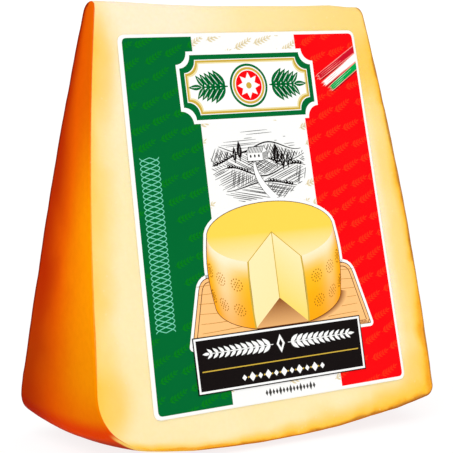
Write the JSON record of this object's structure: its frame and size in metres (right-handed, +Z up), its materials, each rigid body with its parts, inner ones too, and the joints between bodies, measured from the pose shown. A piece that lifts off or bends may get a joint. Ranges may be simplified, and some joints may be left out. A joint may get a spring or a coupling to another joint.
{
  "type": "wedge of hard grating cheese",
  "caption": "Wedge of hard, pale yellow grating cheese with an orange-brown rind, standing on its rind with its point up, with a paper label on its front cut face.",
  "frame": {"origin": "on the flat that the wedge stands on, below the middle of its bounding box", "axes": "+Z up from the rim of the wheel to the wedge's point; X along the wheel's axis, across the cut faces; the label faces -Y"},
  "size_m": [0.0978, 0.0466, 0.1076],
  "materials": {
    "cheese": "smooth and slightly waxy: pale yellow cut faces, orange-brown rind",
    "label_paper": "coated paper with plain printed colours, slightly glossy"
  },
  "bodies": {
    "root": {"cheese_wedge": "cheese", "label": "label_paper"}
  },
  "joints": []
}
